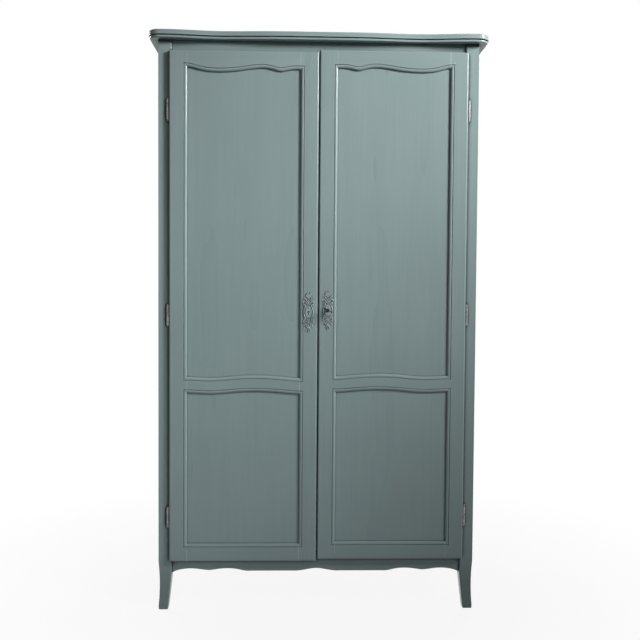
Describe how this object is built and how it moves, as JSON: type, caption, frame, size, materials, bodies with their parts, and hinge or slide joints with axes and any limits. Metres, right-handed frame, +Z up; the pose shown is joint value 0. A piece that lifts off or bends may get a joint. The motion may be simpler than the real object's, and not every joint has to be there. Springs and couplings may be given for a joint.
{
  "type": "two-door wardrobe",
  "caption": "Tall painted two-door wardrobe with wavy-framed panel doors, a moulded serpentine top, curved front feet, a lock and key, a hanging rail and a hat shelf.",
  "frame": {"origin": "on the floor, at the middle of the bounding box's base", "axes": "+Z up, +X to the right of someone who faces the doors, the doors face -Y"},
  "size_m": [1.168, 0.583, 2],
  "materials": {
    "painted_wood": "satin paint",
    "bare_wood": "matt, oiled",
    "rail_wood": "satin",
    "painted_brass": "satin paint",
    "aged_iron": "dull, darkened",
    "dark_steel": "dull",
    "old_key": "dull, darkened",
    "brass": "dull"
  },
  "bodies": {
    "case": {"back_bottom_rail": "bare_wood", "back_muntin": "bare_wood", "back_panel_left": "bare_wood", "back_panel_right": "bare_wood", "back_top_rail": "bare_wood", "bolt_keepers": "dark_steel", "case_screws": "dark_steel", "cleat_screws": "dark_steel", "cornice_board": "painted_wood", "floor_board": "bare_wood", "front_apron": "painted_wood", "front_post_left": "painted_wood", "front_post_right": "painted_wood", "front_top_rail": "painted_wood", "hanging_rail": "rail_wood", "hat_shelf": "bare_wood", "hinge_case_halves_left": "aged_iron", "hinge_case_halves_right": "aged_iron", "rail_sockets": "brass", "rear_post_left": "painted_wood", "rear_post_right": "painted_wood", "shelf_cleats": "bare_wood", "side_bottom_rail_left": "painted_wood", "side_bottom_rail_right": "painted_wood", "side_lower_panel_left": "painted_wood", "side_lower_panel_right": "painted_wood", "side_mid_rail_left": "painted_wood", "side_mid_rail_right": "painted_wood", "side_top_rail_left": "painted_wood", "side_top_rail_right": "painted_wood", "side_upper_panel_left": "painted_wood", "side_upper_panel_right": "painted_wood"},
    "left_door": {"hinge_door_halves_left": "aged_iron", "left_bottom_rail": "painted_wood", "left_door_screws": "dark_steel", "left_escutcheon": "painted_brass", "left_hinge_stile": "painted_wood", "left_lower_panel": "painted_wood", "left_meeting_stile": "painted_wood", "left_mid_rail": "painted_wood", "left_top_rail": "painted_wood", "left_upper_panel": "painted_wood", "lower_bolt_case": "dark_steel", "strike_plate": "dark_steel", "upper_bolt_case": "dark_steel"},
    "right_door": {"hinge_door_halves_right": "aged_iron", "lock_case": "dark_steel", "right_bottom_rail": "painted_wood", "right_door_screws": "dark_steel", "right_escutcheon": "painted_brass", "right_hinge_stile": "painted_wood", "right_lower_panel": "painted_wood", "right_meeting_stile": "painted_wood", "right_mid_rail": "painted_wood", "right_top_rail": "painted_wood", "right_upper_panel": "painted_wood"},
    "key": {"key": "old_key"},
    "lock_bolt": {"lock_bolt": "dark_steel"},
    "upper_bolt": {"upper_bolt": "dark_steel"},
    "lower_bolt": {"lower_bolt": "dark_steel"}
  },
  "joints": [
    {"name": "left_door_hinge", "type": "hinge", "parent": "case", "child": "left_door", "pos_m": [-0.51805, -0.24325, 1.031], "axis": [0, 0, -1], "range_deg": [0, 120]},
    {"name": "right_door_hinge", "type": "hinge", "parent": "case", "child": "right_door", "pos_m": [0.51805, -0.24325, 1.038], "axis": [0, 0, 1], "range_deg": [0, 120]},
    {"name": "key_turn", "type": "hinge", "parent": "right_door", "child": "key", "pos_m": [0.0335, -0.2535, 1.0525], "axis": [0, -1, 0], "range_deg": [0, 180]},
    {"name": "lock_bolt_slide", "type": "slide", "parent": "right_door", "child": "lock_bolt", "axis": [-1, 0, 0], "range_m": [0, 0.011]},
    {"name": "upper_bolt_slide", "type": "slide", "parent": "left_door", "child": "upper_bolt", "axis": [0, 0, 1], "range_m": [0, 0.014]},
    {"name": "lower_bolt_slide", "type": "slide", "parent": "left_door", "child": "lower_bolt", "axis": [0, 0, -1], "range_m": [0, 0.014]}
  ],
  "couplings": [
    {"joint": "key_turn", "follows": "lock_bolt_slide", "rad_per_m": 285.59}
  ]
}
